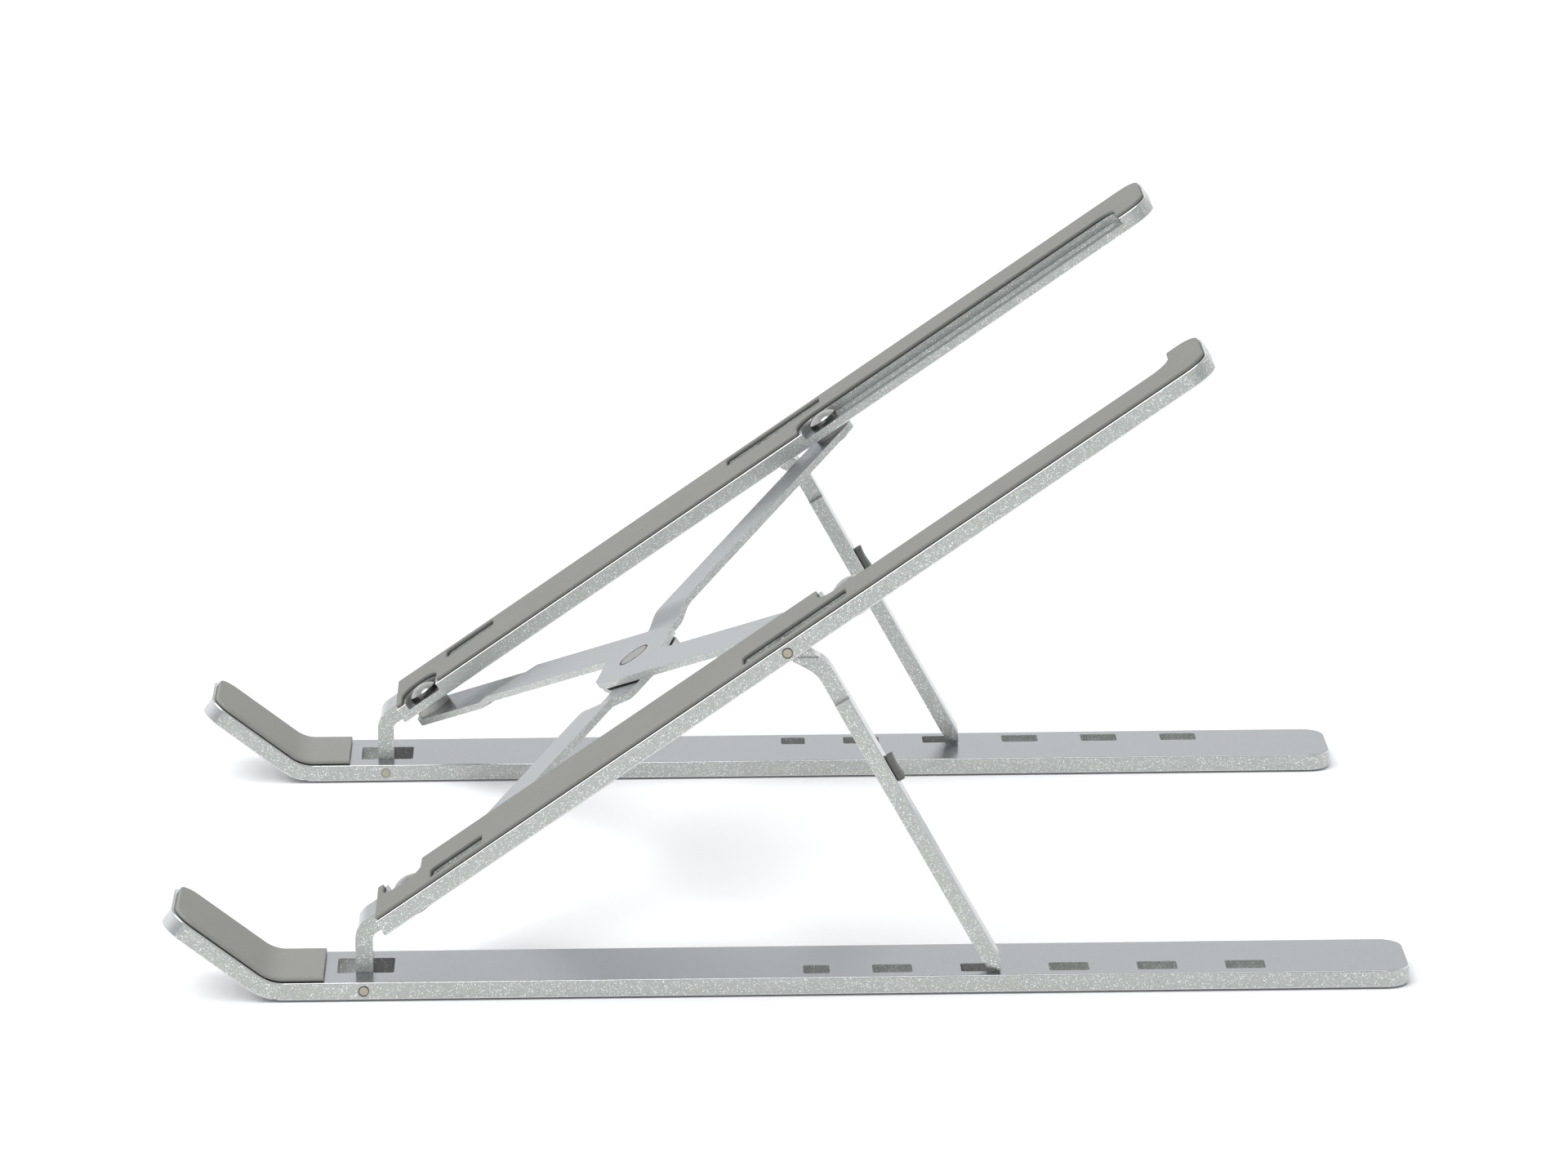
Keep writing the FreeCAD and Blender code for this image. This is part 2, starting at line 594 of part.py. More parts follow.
def lower_brace():
    """Brace from the right front rivet to the left sliding rivet, set down under the other one."""
    mid = BRACE_TOP - BRACE_THICKNESS / 2
    far = BRACE_HALF + 2 * BRACE_WIDTH
    ramp = JOGGLE_START + JOGGLE_LENGTH
    path = [(-far, mid), (-ramp, mid), (-JOGGLE_START, mid - JOGGLE_DROP),
            (JOGGLE_START, mid - JOGGLE_DROP), (ramp, mid), (far, mid)]
    ribbon = strip(path, [JOGGLE_BEND] * 4, BRACE_THICKNESS, -2 * BRACE_WIDTH, 2 * BRACE_WIDTH)
    points, radii = brace_outline(-1)
    plan = prism_z(points, radii, 0, ARM_UNDERSIDE)
    body = turn_brace(ribbon.common(plan), -1)
    return body.cut(brace_holes(-1, STEM_RADIUS + RUNNING_GAP, (FRONT_RIVET_S, SLIDE_RIVET_S),
                                BRACE_TOP))


def upper_brace():
    """Brace from the left front rivet to the right sliding rivet, stepped down near its front."""
    mid = BRACE_TOP - BRACE_THICKNESS / 2
    slant = math.radians(STEP_ANGLE)
    across = STEP_CENTRE[0] * math.sin(slant) - STEP_CENTRE[1] * math.cos(slant)
    far = 2 * BRACE_HALF
    path = [(-far, mid - STEP_DROP), (across - STEP_LENGTH / 2, mid - STEP_DROP),
            (across + STEP_LENGTH / 2, mid), (far, mid)]
    ribbon = strip(path, [1.5, 1.5], BRACE_THICKNESS, -far, far)
    ribbon.rotate(Vector(), Vector(0, 0, 1), STEP_ANGLE - 90)
    points, radii = brace_outline(1)
    plan = prism_z(points, radii, 0, ARM_UNDERSIDE)
    body = turn_brace(ribbon.common(plan), 1)
    sunk = disc(CENTRE_S, 0, CENTRE_HEAD_RADIUS + CENTRE_HEAD_GAP,
                BRACE_TOP - CENTRE_HEAD_DEPTH, ARM_UNDERSIDE)
    return body.cut(brace_holes(1, STEM_RADIUS, (SLIDE_RIVET_S,), BRACE_TOP) + [sunk])


def centre_rivet():
    """Flat sunk head in the upper brace, stem through both braces, formed tail below."""
    low_face = BRACE_TOP - JOGGLE_DROP - BRACE_THICKNESS
    head = disc(CENTRE_S, 0, CENTRE_HEAD_RADIUS, BRACE_TOP - CENTRE_HEAD_DEPTH, BRACE_TOP)
    head = head.makeFillet(CENTRE_HEAD_GAP, [edge for edge in head.Edges
                                             if edge.CenterOfMass.z > BRACE_TOP - 0.01])
    bite_y = CENTRE_HEAD_RADIUS + 0.35
    bites = [disc(CENTRE_S, sign * bite_y, 0.9, BRACE_TOP - CENTRE_HEAD_DEPTH / 2, BRACE_TOP)
             for sign in (-1, 1)]
    bottom = low_face - RUNNING_GAP - TAIL_HEIGHT
    stem = disc(CENTRE_S, 0, STEM_RADIUS, bottom, BRACE_TOP - CENTRE_HEAD_DEPTH)
    tail = disc(CENTRE_S, 0, TAIL_RADIUS, bottom, bottom + TAIL_HEIGHT)
    return head.cut(bites).fuse([stem, tail]).removeSplitter()


def centre_washer():
    gap_middle = (2 * BRACE_TOP - BRACE_THICKNESS - JOGGLE_DROP) / 2
    half = CENTRE_WASHER_THICKNESS / 2
    return washer(CENTRE_S, 0, gap_middle - half, gap_middle + half)


def build():
    """Every node of the stand, placed in its own frame."""
    nodes = {}
    brace_bottom = BRACE_TOP - BRACE_THICKNESS
    pocket_floor = BRACE_TOP - POCKET_DEPTH
    for name, side in (("right", -1), ("left", 1)):
        nodes[name + "_base_bar"] = base_bar(side)
        nodes[name + "_hook_pad"] = hook_pad(side)
        for foot_name, start, end in FEET:
            nodes[name + "_" + foot_name] = foot(side, start, end)
        nodes[name + "_hinge_pin"] = moved(cross_rod(side, 0, BAR_WIDTH), HINGE.x, HINGE.z)
        nodes[name + "_arm"] = place_on_arm(arm(side))
        nodes[name + "_arm_pad"] = place_on_arm(arm_pad(side))
        pin = moved(cross_rod(side, 0, SLOT_INSET + SLOT_WIDTH + PIN_ANCHOR), STRUT_PIN_S, ARM_MID)
        nodes[name + "_strut_pin"] = place_on_arm(pin)
        nodes[name + "_strut"] = strut(side)
        nodes[name + "_strut_bumper"] = strut_bumper(side)
        front_drop = STEP_DROP if side > 0 else 0.0
        front_floor = BRACE_TOP - STEP_DROP if side > 0 else pocket_floor
        nodes[name + "_front_rivet"] = place_on_arm(
            side_rivet(side, FRONT_RIVET_S, brace_bottom - front_drop))
        nodes[name + "_slide_rivet"] = place_on_arm(side_rivet(side, SLIDE_RIVET_S, brace_bottom))
        washer_top = ARM_UNDERSIDE - RUNNING_GAP
        nodes[name + "_front_washer"] = place_on_arm(
            washer(FRONT_RIVET_S, side * RIVET_Y, front_floor, washer_top))
        nodes[name + "_slide_washer"] = place_on_arm(
            washer(SLIDE_RIVET_S, side * RIVET_Y, pocket_floor, washer_top))
    nodes["upper_brace"] = place_on_arm(upper_brace())
    nodes["lower_brace"] = place_on_arm(lower_brace())
    nodes["centre_rivet"] = place_on_arm(centre_rivet())
    nodes["centre_washer"] = place_on_arm(centre_washer())
    return nodes


os.makedirs("parts", exist_ok=True)
for node, shape in build().items():
    solid = shape.Solids[0] if len(shape.Solids) == 1 else shape
    solid.exportStep("parts/" + node + ".step")
    print(node, len(shape.Solids), shape.isValid(), round(shape.Volume, 1))
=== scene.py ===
import json
import math
import bmesh
import bpy
import numpy as np
from mathutils import Matrix, Vector


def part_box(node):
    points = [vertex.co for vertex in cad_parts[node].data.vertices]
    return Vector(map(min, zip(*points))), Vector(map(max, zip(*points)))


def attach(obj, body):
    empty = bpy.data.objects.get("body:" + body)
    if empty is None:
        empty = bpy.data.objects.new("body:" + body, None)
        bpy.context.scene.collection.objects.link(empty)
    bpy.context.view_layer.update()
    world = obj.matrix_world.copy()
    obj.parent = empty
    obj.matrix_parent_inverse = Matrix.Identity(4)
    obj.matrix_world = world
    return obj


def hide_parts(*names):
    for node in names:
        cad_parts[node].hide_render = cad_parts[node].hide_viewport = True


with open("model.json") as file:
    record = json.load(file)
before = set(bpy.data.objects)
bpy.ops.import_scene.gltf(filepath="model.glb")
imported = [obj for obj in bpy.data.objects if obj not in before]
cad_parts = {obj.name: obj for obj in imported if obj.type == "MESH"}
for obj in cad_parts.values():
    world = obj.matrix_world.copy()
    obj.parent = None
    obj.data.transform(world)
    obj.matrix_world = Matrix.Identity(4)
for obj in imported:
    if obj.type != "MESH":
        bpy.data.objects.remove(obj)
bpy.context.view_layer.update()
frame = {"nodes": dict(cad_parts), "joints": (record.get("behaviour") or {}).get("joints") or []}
MM = 0.001


# --- Silver bars: the base bars, tilting arms, prop struts and crossed braces ---
# Flat aluminium bar, cut, bent and pierced, then sprayed with a fine metallic silver lacquer
# whose flakes glint. The pressed shapes are the frame's own; only their finish is made here.
class Sock:
    """One node socket. Arithmetic on it adds the matching Math nodes."""

    def __init__(self, finish, link):
        self.finish = finish
        self.link = link

    def maths(self, operation, first, second):
        return self.finish.node("ShaderNodeMath", {"operation": operation}, {0: first, 1: second})

    def __add__(self, other):
        return self.maths("ADD", self, other)

    def __radd__(self, other):
        return self.maths("ADD", other, self)

    def __sub__(self, other):
        return self.maths("SUBTRACT", self, other)

    def __rsub__(self, other):
        return self.maths("SUBTRACT", other, self)

    def __mul__(self, other):
        return self.maths("MULTIPLY", self, other)

    def __rmul__(self, other):
        return self.maths("MULTIPLY", other, self)

    def __gt__(self, other):
        return self.maths("GREATER_THAN", self, other)

    def __abs__(self):
        return self.maths("ABSOLUTE", self, 0.0)


class Finish:
    """A procedural material: one Principled shader, and the nodes that feed it."""

    def __init__(self, name, **constants):
        self.material = bpy.data.materials.new(name)
        self.material.use_nodes = True
        self.tree = self.material.node_tree
        self.shader = self.tree.nodes["Principled BSDF"]
        for socket, value in constants.items():
            label = socket.replace("_", " ").title().replace("Ior", "IOR")
            self.shader.inputs[label].default_value = value
        self.place = self.node("ShaderNodeTexCoord", output="Object")

    def node(self, kind, settings=None, sockets=None, output=0):
        """Add a node: its settings are set first, then its sockets' values or links."""
        made = self.tree.nodes.new(kind)
        for setting, value in (settings or {}).items():
            setattr(made, setting, value)
        for socket, value in (sockets or {}).items():
            self.join(made.inputs[socket], value)
        return Sock(self, made.outputs[output])

    def join(self, socket, value):
        if isinstance(value, Sock):
            self.tree.links.new(value.link, socket)
        else:
            socket.default_value = value

    def feed(self, socket, value):
        self.join(self.shader.inputs[socket], value)

    def noise(self, size, detail=2.0, place=None):
        """Smooth random value from 0 to 1 with features of that size in metres."""
        return self.node("ShaderNodeTexNoise", None,
                         {"Vector": place or self.place, "Scale": 1.0 / size, "Detail": detail})

    def mix_colour(self, factor, low, high):
        return self.node("ShaderNodeMix", {"data_type": "RGBA"}, {0: factor, 6: low, 7: high}, 2)

    def squareness(self, direction):
        """How squarely the surface faces along a direction, either way: 1 square, 0 edge on."""
        own_normal = self.node("ShaderNodeTexCoord", output="Normal")
        return abs(self.node("ShaderNodeVectorMath", {"operation": "DOT_PRODUCT"},
                             {0: own_normal, 1: tuple(direction)}, "Value"))

    def bump(self, height, distance, strength=1.0, normal=None):
        sockets = {"Height": height, "Distance": distance, "Strength": strength}
        if normal:
            sockets["Normal"] = normal
        return self.node("ShaderNodeBump", None, sockets)


FACE_DARK = (0.325, 0.34, 0.352, 1)
FACE_LIGHT = (0.375, 0.39, 0.402, 1)
# Side-face colours: a painted lighter copy of the face colours, standing for the floor light the
# sides catch.
PAINTED_LIT_SIDE_DARK = (0.36, 0.375, 0.36, 1)
PAINTED_LIT_SIDE_LIGHT = (0.60, 0.62, 0.60, 1)
# Painted glint colour, given to a few flake cells on the side faces only.
FLAKE_PAINTED_GLINT = (0.95, 0.97, 0.95, 1)
FLAKE_SIZE = 0.15 * MM
FLAKE_TILT = 0.26
FACE_TILT = 0.035
GLINT_SHARE = 0.93
FLAT_LIMIT = 0.90
SIDE_LIMIT = 0.20
# Painted highlight colour for the rounded edges between the faces and the sides.
PAINTED_EDGE_HIGHLIGHT = (0.72, 0.73, 0.73, 1)


def lacquer(name, up):
    """Metallic lacquer: cells of random tilt are the flakes, and a few of them shine out.

    The broad faces, square to the given direction, get little flake tilt, so flakes hardly show
    there. The side faces and slot walls are rougher, with more tilt and a painted lighter copy of
    the face colour for the floor light they catch, and painted glints on a few flakes. The rounded
    edges between get a painted highlight colour.
    """
    finish = Finish(name, coat_roughness=0.2)
    square = finish.squareness(up)
    flat = square > FLAT_LIMIT
    edge = (square > SIDE_LIMIT) * (1.0 - flat)
    side_faces = 1.0 - flat - edge
    flakes = finish.node("ShaderNodeTexVoronoi", {"feature": "F1"},
                         {"Vector": finish.place, "Scale": 1.0 / FLAKE_SIZE}, "Color")
    centred = finish.node("ShaderNodeVectorMath", {"operation": "SUBTRACT"},
                          {0: flakes, 1: (0.5, 0.5, 0.5)})
    leaning = finish.node("ShaderNodeVectorMath", {"operation": "SCALE"},
                          {0: centred, "Scale": FACE_TILT + (FLAKE_TILT - FACE_TILT) * side_faces})
    facing = finish.node("ShaderNodeNewGeometry", output="Normal")
    tilted = finish.node("ShaderNodeVectorMath", {"operation": "ADD"}, {0: facing, 1: leaning})
    normal = finish.node("ShaderNodeVectorMath", {"operation": "NORMALIZE"}, {0: tilted})
    peel = finish.bump(finish.noise(1.6 * MM), 0.012 * MM, 0.3, normal)
    draw = finish.node("ShaderNodeSeparateColor", None, {0: flakes}, "Red")
    # Painted glints: a few flake cells on the side faces turn near white.
    glint = (draw > GLINT_SHARE) * side_faces
    cloud = finish.noise(9 * MM, 3.0)
    fine = finish.noise(0.5 * MM, 2.0)
    face = finish.mix_colour(0.3 * draw + 0.4 * cloud + 0.3 * fine, FACE_DARK, FACE_LIGHT)
    # The side faces get the painted lighter copy of the face colour, with stronger flake contrast.
    side = finish.mix_colour(0.6 * draw + 0.25 * cloud + 0.15 * fine, PAINTED_LIT_SIDE_DARK, PAINTED_LIT_SIDE_LIGHT)
    # The rounded edges get the painted highlight colour.
    body = finish.mix_colour(edge, finish.mix_colour(side_faces, face, side), PAINTED_EDGE_HIGHLIGHT)
    finish.feed("Base Color", finish.mix_colour(glint, body, FLAKE_PAINTED_GLINT))
    finish.feed("Metallic", 0.88 - 0.28 * side_faces + 0.1 * draw)
    finish.feed("Roughness", 0.20 + 0.18 * side_faces + 0.05 * cloud - 0.12 * glint)
    finish.feed("Coat Weight", 0.10 + 0.10 * cloud)
    finish.feed("Normal", peel)
    return finish.material


def dress(names, material):
    """Give one material to CAD nodes whose shape stays."""
    for name in names:
        mesh = frame["nodes"][name].data
        mesh.materials.clear()
        mesh.materials.append(material)


SIDES = (("right", -1), ("left", 1))
joints = {joint["name"]: joint for joint in frame["joints"]}
hinge = Vector(joints["arm_tilt"]["pos_m"])
arm_up = -Vector(joints["width_fold"]["axis"]).normalized()
arm_along = Vector((arm_up.z, 0, -arm_up.x))
STRUT_LEAN = math.radians(61.0)
strut_out = Vector((math.sin(STRUT_LEAN), 0, math.cos(STRUT_LEAN)))
dress([side + "_base_bar" for side, _ in SIDES], lacquer("silver_bar", (0, 0, 1)))
dress([side + "_strut" for side, _ in SIDES], lacquer("silver_strut", tuple(strut_out)))
dress([side + "_arm" for side, _ in SIDES] + ["upper_brace", "lower_brace"],
      lacquer("silver_arm", tuple(arm_up)))


# --- Rivets and pins: the joints of the braces, arms and struts ---
# Steel rivets with polished domes, set through the arms and braces, and plain cross pins.
# Polishing leaves fine lines and an uneven shine.
# The rivet head walls and the rims round the centre rivet and pin ends get a painted dark shade.
# Near-black painted shade for the rims where the pins and the centre rivet meet their holes.
RIM_PAINTED_SHADE = (0.045, 0.043, 0.04, 1)
PIN_DARK = (0.36, 0.33, 0.26, 1)
PIN_LIGHT = (0.55, 0.51, 0.42, 1)
PIN_RIM = 0.88 * MM
CENTRE_RIM = 3.12 * MM
HEAD_WALL = 0.62
# Painted shade for the rivet heads' side walls, standing for the shadow in their sunk recesses.
HEAD_WALL_PAINTED_SHADE = (0.13, 0.13, 0.125, 1)
STRUT_PIN_ALONG = 109.0 * MM
STRUT_PIN_ABOVE = 8.65 * MM


def from_axis(finish, centre, axis):
    """Distance from a line: the length of the offset crossed with the line's direction."""
    offset = finish.node("ShaderNodeVectorMath", {"operation": "SUBTRACT"},
                         {0: finish.place, 1: tuple(centre)})
    crossed = finish.node("ShaderNodeVectorMath", {"operation": "CROSS_PRODUCT"},
                          {0: offset, 1: tuple(axis)})
    return finish.node("ShaderNodeVectorMath", {"operation": "LENGTH"}, {0: crossed}, "Value")


def polished_steel(name, dark, light, shine):
    """Steel with fine rubbed lines: its finish, and its clouded colour for the caller to use."""
    finish = Finish(name, metallic=1.0)
    squeezed = finish.node("ShaderNodeMapping", None,
                           {"Vector": finish.place, "Scale": (1.0, 6.0, 6.0)})
    rubbed = finish.noise(0.35 * MM, 4.0, squeezed)
    cloud = finish.noise(1.7 * MM)
    finish.feed("Roughness", shine + 0.14 * rubbed)
    finish.feed("Normal", finish.bump(rubbed, 0.006 * MM, 0.5))
    return finish, finish.mix_colour(cloud, dark, light)


def sawn_pin(name, centre):
    """Pin ends left sawn: warm, half dull, finely scratched; the rim gets a near-black painted
    shade.
    """
    finish = Finish(name)
    drawn_out = finish.node("ShaderNodeMapping", None,
                            {"Vector": finish.place, "Scale": (8.0, 1.0, 1.0)})
    scratch = finish.noise(0.5 * MM, 3.0, drawn_out)
    # Painted shade: beyond the rim radius the pin turns near black, standing for the shadow where
    # it meets its hole.
    painted_shade_rim = from_axis(finish, centre, (0, 1, 0)) > PIN_RIM
    body = finish.mix_colour(scratch, PIN_DARK, PIN_LIGHT)
    finish.feed("Base Color", finish.mix_colour(painted_shade_rim, body, RIM_PAINTED_SHADE))
    finish.feed("Metallic", 0.5 - 0.4 * painted_shade_rim + 0.2 * scratch)
    finish.feed("Roughness", 0.4 + 0.2 * scratch)
    finish.feed("Normal", finish.bump(scratch, 0.01 * MM, 0.5))
    return finish.material


bright, bright_colour = polished_steel("polished_steel", (0.26, 0.26, 0.25, 1),
                                       (0.62, 0.62, 0.61, 1), 0.08)
# The side walls of the front and slide rivet heads get the near-black painted shade.
wall = 1.0 - (bright.squareness(arm_up) > HEAD_WALL)
bright.feed("Base Color", bright.mix_colour(wall, bright_colour, HEAD_WALL_PAINTED_SHADE))
dress([side + part for side, _ in SIDES for part in ("_front_rivet", "_slide_rivet")],
      bright.material)
dull, dull_colour = polished_steel("pressed_steel", (0.30, 0.30, 0.295, 1),
                                   (0.40, 0.40, 0.385, 1), 0.28)
# Painted shade: beyond its rim radius the centre rivet turns near black, the shadow in the gap
# round its head.
painted_shade_rim = from_axis(dull, joints["brace_cross"]["pos_m"], arm_up) > CENTRE_RIM
dull.feed("Base Color", dull.mix_colour(painted_shade_rim, dull_colour, RIM_PAINTED_SHADE))
dress(["centre_rivet"], dull.material)
strut_pin = hinge + arm_along * STRUT_PIN_ALONG + arm_up * STRUT_PIN_ABOVE
for part, centre in (("hinge_pin", hinge), ("strut_pin", strut_pin)):
    dress([side + "_" + part for side, _ in SIDES], sawn_pin("sawn_" + part, centre))


# --- Washers: thin rings between the arms and the braces ---
# Natural nylon, punched from sheet, milky white, with a slight drawn grain.
NYLON_DARK = (0.56, 0.56, 0.53, 1)
NYLON_LIGHT = (0.72, 0.72, 0.69, 1)


def nylon():
    """Milky plastic with soft clouding and a faint grain."""
    finish = Finish("milky_nylon", specular_ior_level=0.45)
    cloud = finish.noise(1.2 * MM, 3.0)
    finish.feed("Base Color", finish.mix_colour(cloud, NYLON_DARK, NYLON_LIGHT))
    finish.feed("Roughness", 0.38 + 0.15 * cloud)
    finish.feed("Normal", finish.bump(finish.noise(0.2 * MM), 0.01 * MM, 0.4))
    return finish.material


dress([side + part for side, _ in SIDES for part in ("_front_washer", "_slide_washer")]
      + ["centre_washer"], nylon())


# --- Arm pads: the strips that a laptop lies on ---
# Grey silicone sheet, moulded with soft edges, cut away at the strut slots and round the rivets,
# and glued along the top of each arm.
PAD_THICKNESS = 0.8 * MM
PAD_EDGE = 0.28 * MM
CORNER_STEPS = 10
FLAT_FACE = 0.999
SHARP_ANGLE = math.radians(40)
MERGE_DISTANCE = 1e-6


def silicone(name, dark, light):
    """Matt moulded silicone: fine skin grain, faint flow clouding and a little clinging dust."""
    finish = Finish(name, specular_ior_level=0.38)
    grain = finish.noise(0.18 * MM, 3.0)
    cloud = finish.noise(14 * MM, 4.0)
    dust = finish.noise(0.7 * MM, 1.0) > 0.71
    body = finish.mix_colour(0.6 * cloud + 0.4 * grain, dark, light)
    pale = tuple(min(1.0, 1.22 * channel) for channel in light[:3]) + (1,)
    finish.feed("Base Color", finish.mix_colour(0.5 * dust, body, pale))
    finish.feed("Roughness", 0.56 + 0.16 * grain)
    finish.feed("Normal", finish.bump(grain, 0.02 * MM, 0.6))
    return finish.material


def rounded(corners, radii):
    """Closed outline through the corners: an arc of its radius replaces each corner.

    The arc touches both sides at radius / tan(half the corner angle) from the corner, and its
    points are the arc centre plus the radius turned from one touching point to the other.
    """
    corners = np.array(corners, float)
    rows = []
    for i, radius in enumerate(radii):
        back = corners[i - 1] - corners[i]
        forth = corners[(i + 1) % len(corners)] - corners[i]
        back, forth = back / np.linalg.norm(back), forth / np.linalg.norm(forth)
        half = math.acos(max(-1.0, min(1.0, float(back @ forth)))) / 2
        middle = (back + forth) / np.linalg.norm(back + forth)
        centre = corners[i] + middle * radius / math.sin(half)
        start = corners[i] + back * radius / math.tan(half) - centre
        end = corners[i] + forth * radius / math.tan(half) - centre
        first = math.atan2(start[1], start[0])
        sweep = (math.atan2(end[1], end[0]) - first + math.pi) % (2 * math.pi) - math.pi
        angles = first + sweep * np.linspace(0, 1, CORNER_STEPS)
        rows.append(centre + radius * np.stack([np.cos(angles), np.sin(angles)], 1))
    return np.concatenate(rows)


def inset(ring, distance):
    """The closed outline moved inwards by a distance, whichever way round it runs.

    Each point moves along the mean of its two sides' left normals, over the cosine between.
    """
    sides = np.roll(ring, -1, 0) - ring
    left = np.stack([-sides[:, 1], sides[:, 0]], 1) / np.linalg.norm(sides, axis=1)[:, None]
    mean = left + np.roll(left, 1, 0)
    mean = mean / np.linalg.norm(mean, axis=1)[:, None]
    following = np.roll(ring, -1, 0)
    turn = np.sign(np.sum(ring[:, 0] * following[:, 1] - ring[:, 1] * following[:, 0]))
    return ring + turn * distance * mean / np.sum(mean * left, 1)[:, None]


def sheet_piece(name, outline, holes, thickness, edge, placing, material, body, node):
    """Flat sheet of a plan outline with holes and softly rolled edges, laid by a placing matrix."""
    curve = bpy.data.curves.new(name, "CURVE")
    curve.dimensions = "2D"
    curve.fill_mode = "BOTH"
    for ring in [inset(outline, edge)] + [inset(hole, -edge) for hole in holes]:
        spline = curve.splines.new("POLY")
        spline.points.add(len(ring) - 1)
        flat = np.concatenate([ring, np.zeros((len(ring), 1)), np.ones((len(ring), 1))], 1)
        spline.points.foreach_set("co", flat.ravel())
        spline.use_cyclic_u = True
    curve.extrude = thickness / 2 - edge
    curve.bevel_depth = edge
    curve.bevel_resolution = 3
    drawn = bpy.data.objects.new(name + "_drawn", curve)
    bpy.context.scene.collection.objects.link(drawn)
    bpy.context.view_layer.update()
    mesh = bpy.data.meshes.new_from_object(drawn.evaluated_get(
        bpy.context.evaluated_depsgraph_get()))
    bpy.data.objects.remove(drawn)
    mesh.name = name
    mesh.transform(placing)
    piece = settle(bpy.data.objects.new(name, mesh), material, body, node)
    normals = np.empty(3 * len(mesh.polygons))
    mesh.polygons.foreach_get("normal", normals)
    leaning = np.abs(normals.reshape(-1, 3) @ np.array(placing.col[2][:3])) < FLAT_FACE
    mesh.polygons.foreach_set("use_smooth", leaning)
    return piece


def settle(piece, material, body, node):
    """Show a new piece in place of its CAD node: merged, smooth, dressed and riding on its body."""
    if not piece.users_collection:
        bpy.context.scene.collection.objects.link(piece)
    mesh = piece.data
    work = bmesh.new()
    work.from_mesh(mesh)
    bmesh.ops.remove_doubles(work, verts=work.verts, dist=MERGE_DISTANCE)
    bmesh.ops.recalc_face_normals(work, faces=work.faces)
    work.to_mesh(mesh)
    work.free()
    mesh.materials.clear()
    mesh.materials.append(material)
    mesh.shade_smooth()
    mesh.set_sharp_from_angle(angle=SHARP_ANGLE)
    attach(piece, body)
    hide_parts(node)
    return piece


ARM_TOP = 10.4 * MM
PAD_INSET = 0.45 * MM
OUTER_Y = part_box("left_base_bar")[1].y
INNER_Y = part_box("left_base_bar")[0].y
PAD_START = 10.6 * MM
PAD_END = 210.15 * MM
PAD_CORNER = 4.55 * MM
PAD_SQUARE = 0.4 * MM
NOTCH_CORNER = 4.4 * MM
BAY_CORNER = 4.5 * MM
HOLE_CORNER = 1.0 * MM
FRONT_NOTCH = (12.0, 21.4)
LONG_NOTCH = (118.4, 203.0)
NOTCH_INSET = 12.8 * MM
FRONT_NOTCH_INSET = 12.4 * MM
HOLES = ((100.4, 124.5), (24.3, 36.2))
HOLE_MARGIN = 0.4
HOLE_INSET = 2.34 * MM
HOLE_WIDTH = 6.4 * MM
grey_silicone = silicone("grey_silicone", (0.195, 0.195, 0.18, 1), (0.235, 0.235, 0.218, 1))
for side, sign in SIDES:
    outer = OUTER_Y - PAD_INSET
    inner = INNER_Y + PAD_INSET
    wall = OUTER_Y - NOTCH_INSET
    bay = OUTER_Y - FRONT_NOTCH_INSET
    bay_start, bay_end = (MM * edge for edge in FRONT_NOTCH)
    notch_start, notch_end = (MM * edge for edge in LONG_NOTCH)
    corners = [(PAD_START, outer), (PAD_END, outer), (PAD_END, inner), (notch_end, inner),
               (notch_end, wall), (notch_start, wall), (notch_start, inner),
               (bay_end, inner), (bay_end, bay), (bay_start, bay), (bay_start, inner),
               (PAD_START, inner)]
    radii = [PAD_SQUARE, PAD_CORNER, PAD_CORNER, 0.8 * MM, NOTCH_CORNER, NOTCH_CORNER,
             0.5 * MM, 0.5 * MM, BAY_CORNER, BAY_CORNER, 0.3 * MM, 0.3 * MM]
    holes = []
    for start, end in HOLES:
        low, high = MM * (start - HOLE_MARGIN), MM * (end + HOLE_MARGIN)
        far = OUTER_Y - HOLE_INSET
        near = far - HOLE_WIDTH
        holes.append(rounded([(low, near), (high, near), (high, far), (low, far)],
                             [HOLE_CORNER] * 4))
    middle = hinge + arm_up * (ARM_TOP + PAD_THICKNESS / 2)
    middle.y = 0
    placing = Matrix.Translation(middle) @ Matrix(
        ((arm_along.x, 0, arm_up.x), (0, 1, 0), (arm_along.z, 0, arm_up.z))).to_4x4()
    outline = rounded(corners, radii) * (1, sign)
    holes = [ring * (1, sign) for ring in holes]
    sheet_piece(side + "_arm_pad_sheet", outline, holes, PAD_THICKNESS, PAD_EDGE, placing,
                grey_silicone, "arm_" + side, side + "_arm_pad")


# --- Feet: grip strips under the base bars ---
# The same grey silicone, moulded as round-ended strips and glued into shallow recesses.
FOOT_EDGE = 0.25 * MM
for side, _ in SIDES:
    for place in ("front", "rear"):
        low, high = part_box(side + "_" + place + "_foot")
        plan = [(low.x, low.y), (high.x, low.y), (high.x, high.y), (low.x, high.y)]
        ring = rounded(plan, [(high.y - low.y) / 4] * 4)
        tall = high.z - low.z
        sheet_piece(side + "_" + place + "_foot_strip", ring, [], tall, FOOT_EDGE,
                    Matrix.Translation((0, 0, tall / 2)), grey_silicone, "base_" + side,
                    side + "_" + place + "_foot")


